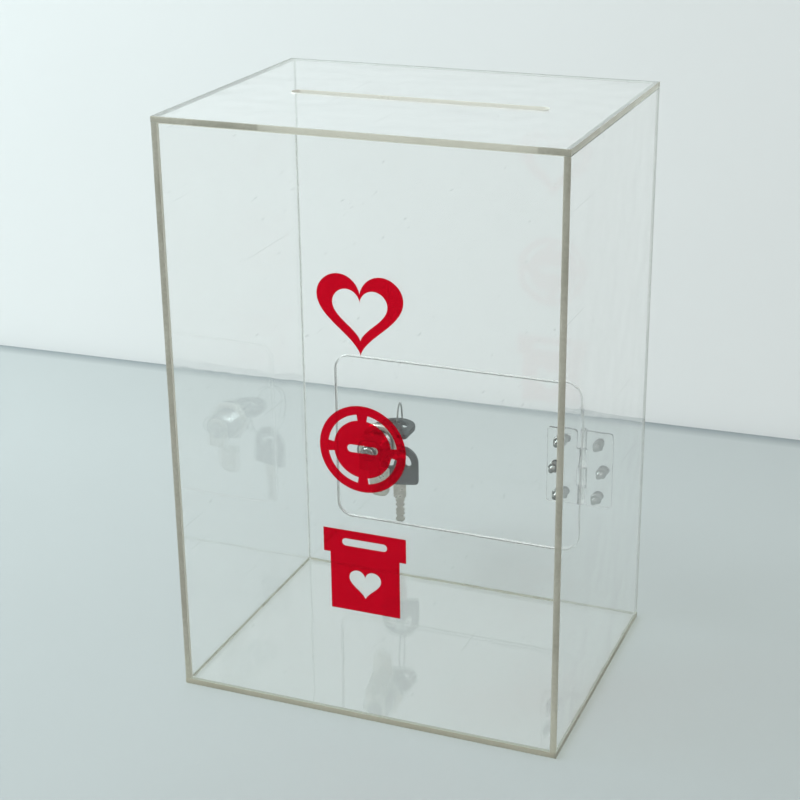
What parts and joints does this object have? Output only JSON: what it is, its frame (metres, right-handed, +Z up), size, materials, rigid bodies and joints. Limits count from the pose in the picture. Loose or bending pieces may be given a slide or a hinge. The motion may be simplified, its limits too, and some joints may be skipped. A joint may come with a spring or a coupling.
{
  "type": "donation box",
  "caption": "Tall clear acrylic donation box: long round-ended slot in the top, hinged rear door with cam lock, key ring, and red marks on the front.",
  "frame": {"origin": "centre of the underside of the bottom panel", "axes": "+Z up; the front with the red marks faces -Y; +X is to the right seen from the front"},
  "size_m": [0.206, 0.2108, 0.306],
  "materials": {
    "clear_acrylic": "clear polished faces with sawn matte edges",
    "red_vinyl": "satin film",
    "zinc_steel": "bright zinc plate",
    "lock_chrome": "chrome plate over die-cast zinc",
    "key_nickel": "satin nickel plate",
    "key_plastic": "moulded matte"
  },
  "bodies": {
    "box": {"top_panel": "clear_acrylic", "bottom_panel": "clear_acrylic", "left_panel": "clear_acrylic", "right_panel": "clear_acrylic", "front_panel": "clear_acrylic", "back_panel": "clear_acrylic", "hinge_leaf_frame": "clear_acrylic", "hinge_pin": "clear_acrylic", "hinge_screw_frame_top": "zinc_steel", "hinge_screw_frame_middle": "zinc_steel", "hinge_screw_frame_bottom": "zinc_steel", "hinge_nut_frame_top": "zinc_steel", "hinge_nut_frame_middle": "zinc_steel", "hinge_nut_frame_bottom": "zinc_steel", "mark_heart": "red_vinyl", "mark_coin": "red_vinyl", "mark_box": "red_vinyl"},
    "door": {"door_panel": "clear_acrylic", "hinge_leaf_door": "clear_acrylic", "hinge_screw_door_top": "zinc_steel", "hinge_screw_door_middle": "zinc_steel", "hinge_screw_door_bottom": "zinc_steel", "hinge_nut_door_top": "zinc_steel", "hinge_nut_door_middle": "zinc_steel", "hinge_nut_door_bottom": "zinc_steel", "lock_housing": "lock_chrome", "lock_nut": "zinc_steel"},
    "plug": {"lock_plug": "lock_chrome", "wafer_1": "key_nickel", "wafer_2": "key_nickel", "wafer_3": "key_nickel", "wafer_4": "key_nickel", "lock_cam": "zinc_steel", "cam_washer": "zinc_steel", "cam_screw": "zinc_steel"},
    "key_1": {"key_1_blade": "key_nickel", "key_1_bow": "key_plastic"},
    "ring": {"key_ring": "zinc_steel"},
    "key_2": {"key_2_blade": "key_nickel", "key_2_bow": "key_plastic"}
  },
  "joints": [
    {"name": "door_swing", "type": "hinge", "parent": "box", "child": "door", "pos_m": [0.06575, 0.0805, 0.0875], "axis": [0, 0, -1], "range_deg": [0, 150]},
    {"name": "lock_turn", "type": "hinge", "parent": "door", "child": "plug", "pos_m": [-0.0515, 0.078, 0.0875], "axis": [0, 1, 0], "range_deg": [0, 90]},
    {"name": "key_withdraw", "type": "slide", "parent": "plug", "child": "key_1", "axis": [0, 1, 0], "range_m": [0, 0.03]},
    {"name": "ring_swing", "type": "hinge", "parent": "key_1", "child": "ring", "pos_m": [-0.05296, 0.10419, 0.0875], "axis": [0.9613, 0.2756, 0], "range_deg": [0, 45]},
    {"name": "key_2_hang", "type": "hinge", "parent": "ring", "child": "key_2", "pos_m": [-0.05655, 0.11671, 0.06248], "axis": [-0.2756, 0.9613, 0], "range_deg": [-90, 0]}
  ],
  "couplings": [
    {"joint": "key_2_hang", "follows": "lock_turn", "ratio": -1}
  ]
}
